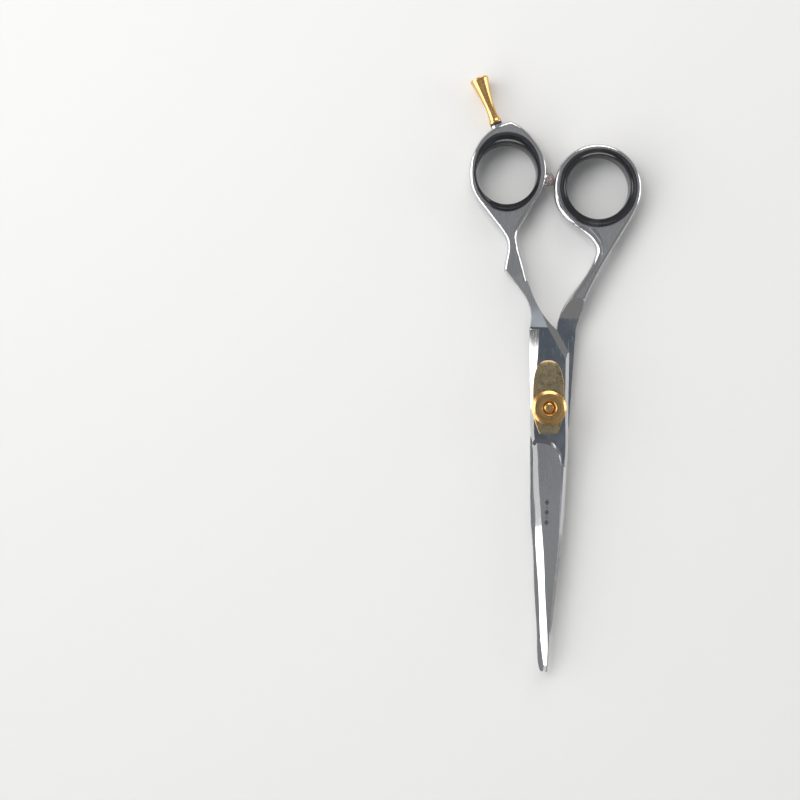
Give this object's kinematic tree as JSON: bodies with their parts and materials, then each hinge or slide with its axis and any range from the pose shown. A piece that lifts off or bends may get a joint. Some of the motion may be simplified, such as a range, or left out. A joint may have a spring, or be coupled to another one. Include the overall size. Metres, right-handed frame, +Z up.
{
  "type": "thinning shears",
  "caption": "Right-handed thinning shears: a plain blade over a comb blade, offset rings with plastic inserts, tension knob on a leaf spring, finger rest and bumper.",
  "frame": {"origin": "middle of the pivot screw's flat head, on the face that rests on a table", "axes": "+Z up the pivot axis to the tension knob, -Y along the closed blades to the tips, +X towards the thumb ring"},
  "size_m": [0.052, 0.178, 0.0103],
  "materials": {
    "blade_steel": "polished bevels, satin flats",
    "gold_plated": "turned, pale gold plating",
    "gold_spring": "tumbled, mottled gold plating",
    "bush_bronze": "plain",
    "washer_plastic": "plain",
    "washer_dark": "matte",
    "insert_black": "glossy black",
    "bumper_clear": "translucent"
  },
  "bodies": {
    "finger_side": {"finger_blade": "blade_steel", "finger_insert": "insert_black", "pivot_screw": "gold_plated", "spring_plate": "gold_spring", "bumper": "bumper_clear"},
    "thumb_side": {"thumb_blade": "blade_steel", "thumb_insert": "insert_black", "pivot_bush": "bush_bronze", "head_washer": "washer_plastic"},
    "knob_rise": {"knob_washer": "washer_plastic"},
    "knob": {"tension_knob": "gold_plated"},
    "rest_rise": {"rest_washer": "washer_dark"},
    "rest": {"finger_rest": "gold_plated"}
  },
  "joints": [
    {"name": "blade_pivot", "type": "hinge", "parent": "finger_side", "child": "thumb_side", "pos_m": [0, 0, 0.0036], "axis": [0, 0, -1], "range_deg": [0, 75]},
    {"name": "knob_lift", "type": "slide", "parent": "finger_side", "child": "knob_rise", "axis": [0, 0, 1], "range_m": [0, 0.0005]},
    {"name": "knob_turn", "type": "hinge", "parent": "knob_rise", "child": "knob", "pos_m": [0, 0, 0.009], "axis": [0, 0, 1], "range_deg": [0, 365]},
    {"name": "rest_lift", "type": "slide", "parent": "finger_side", "child": "rest_rise", "axis": [-0.3827, 0.9239, 0], "range_m": [0, 0.0015]},
    {"name": "rest_turn", "type": "hinge", "parent": "rest_rise", "child": "rest", "pos_m": [-0.01795, 0.0849, 0.0036], "axis": [-0.3827, 0.9239, 0], "range_deg": [0, 1090]}
  ],
  "couplings": [
    {"joint": "knob_turn", "follows": "knob_lift", "rad_per_m": 12566},
    {"joint": "rest_turn", "follows": "rest_lift", "rad_per_m": 12566}
  ]
}
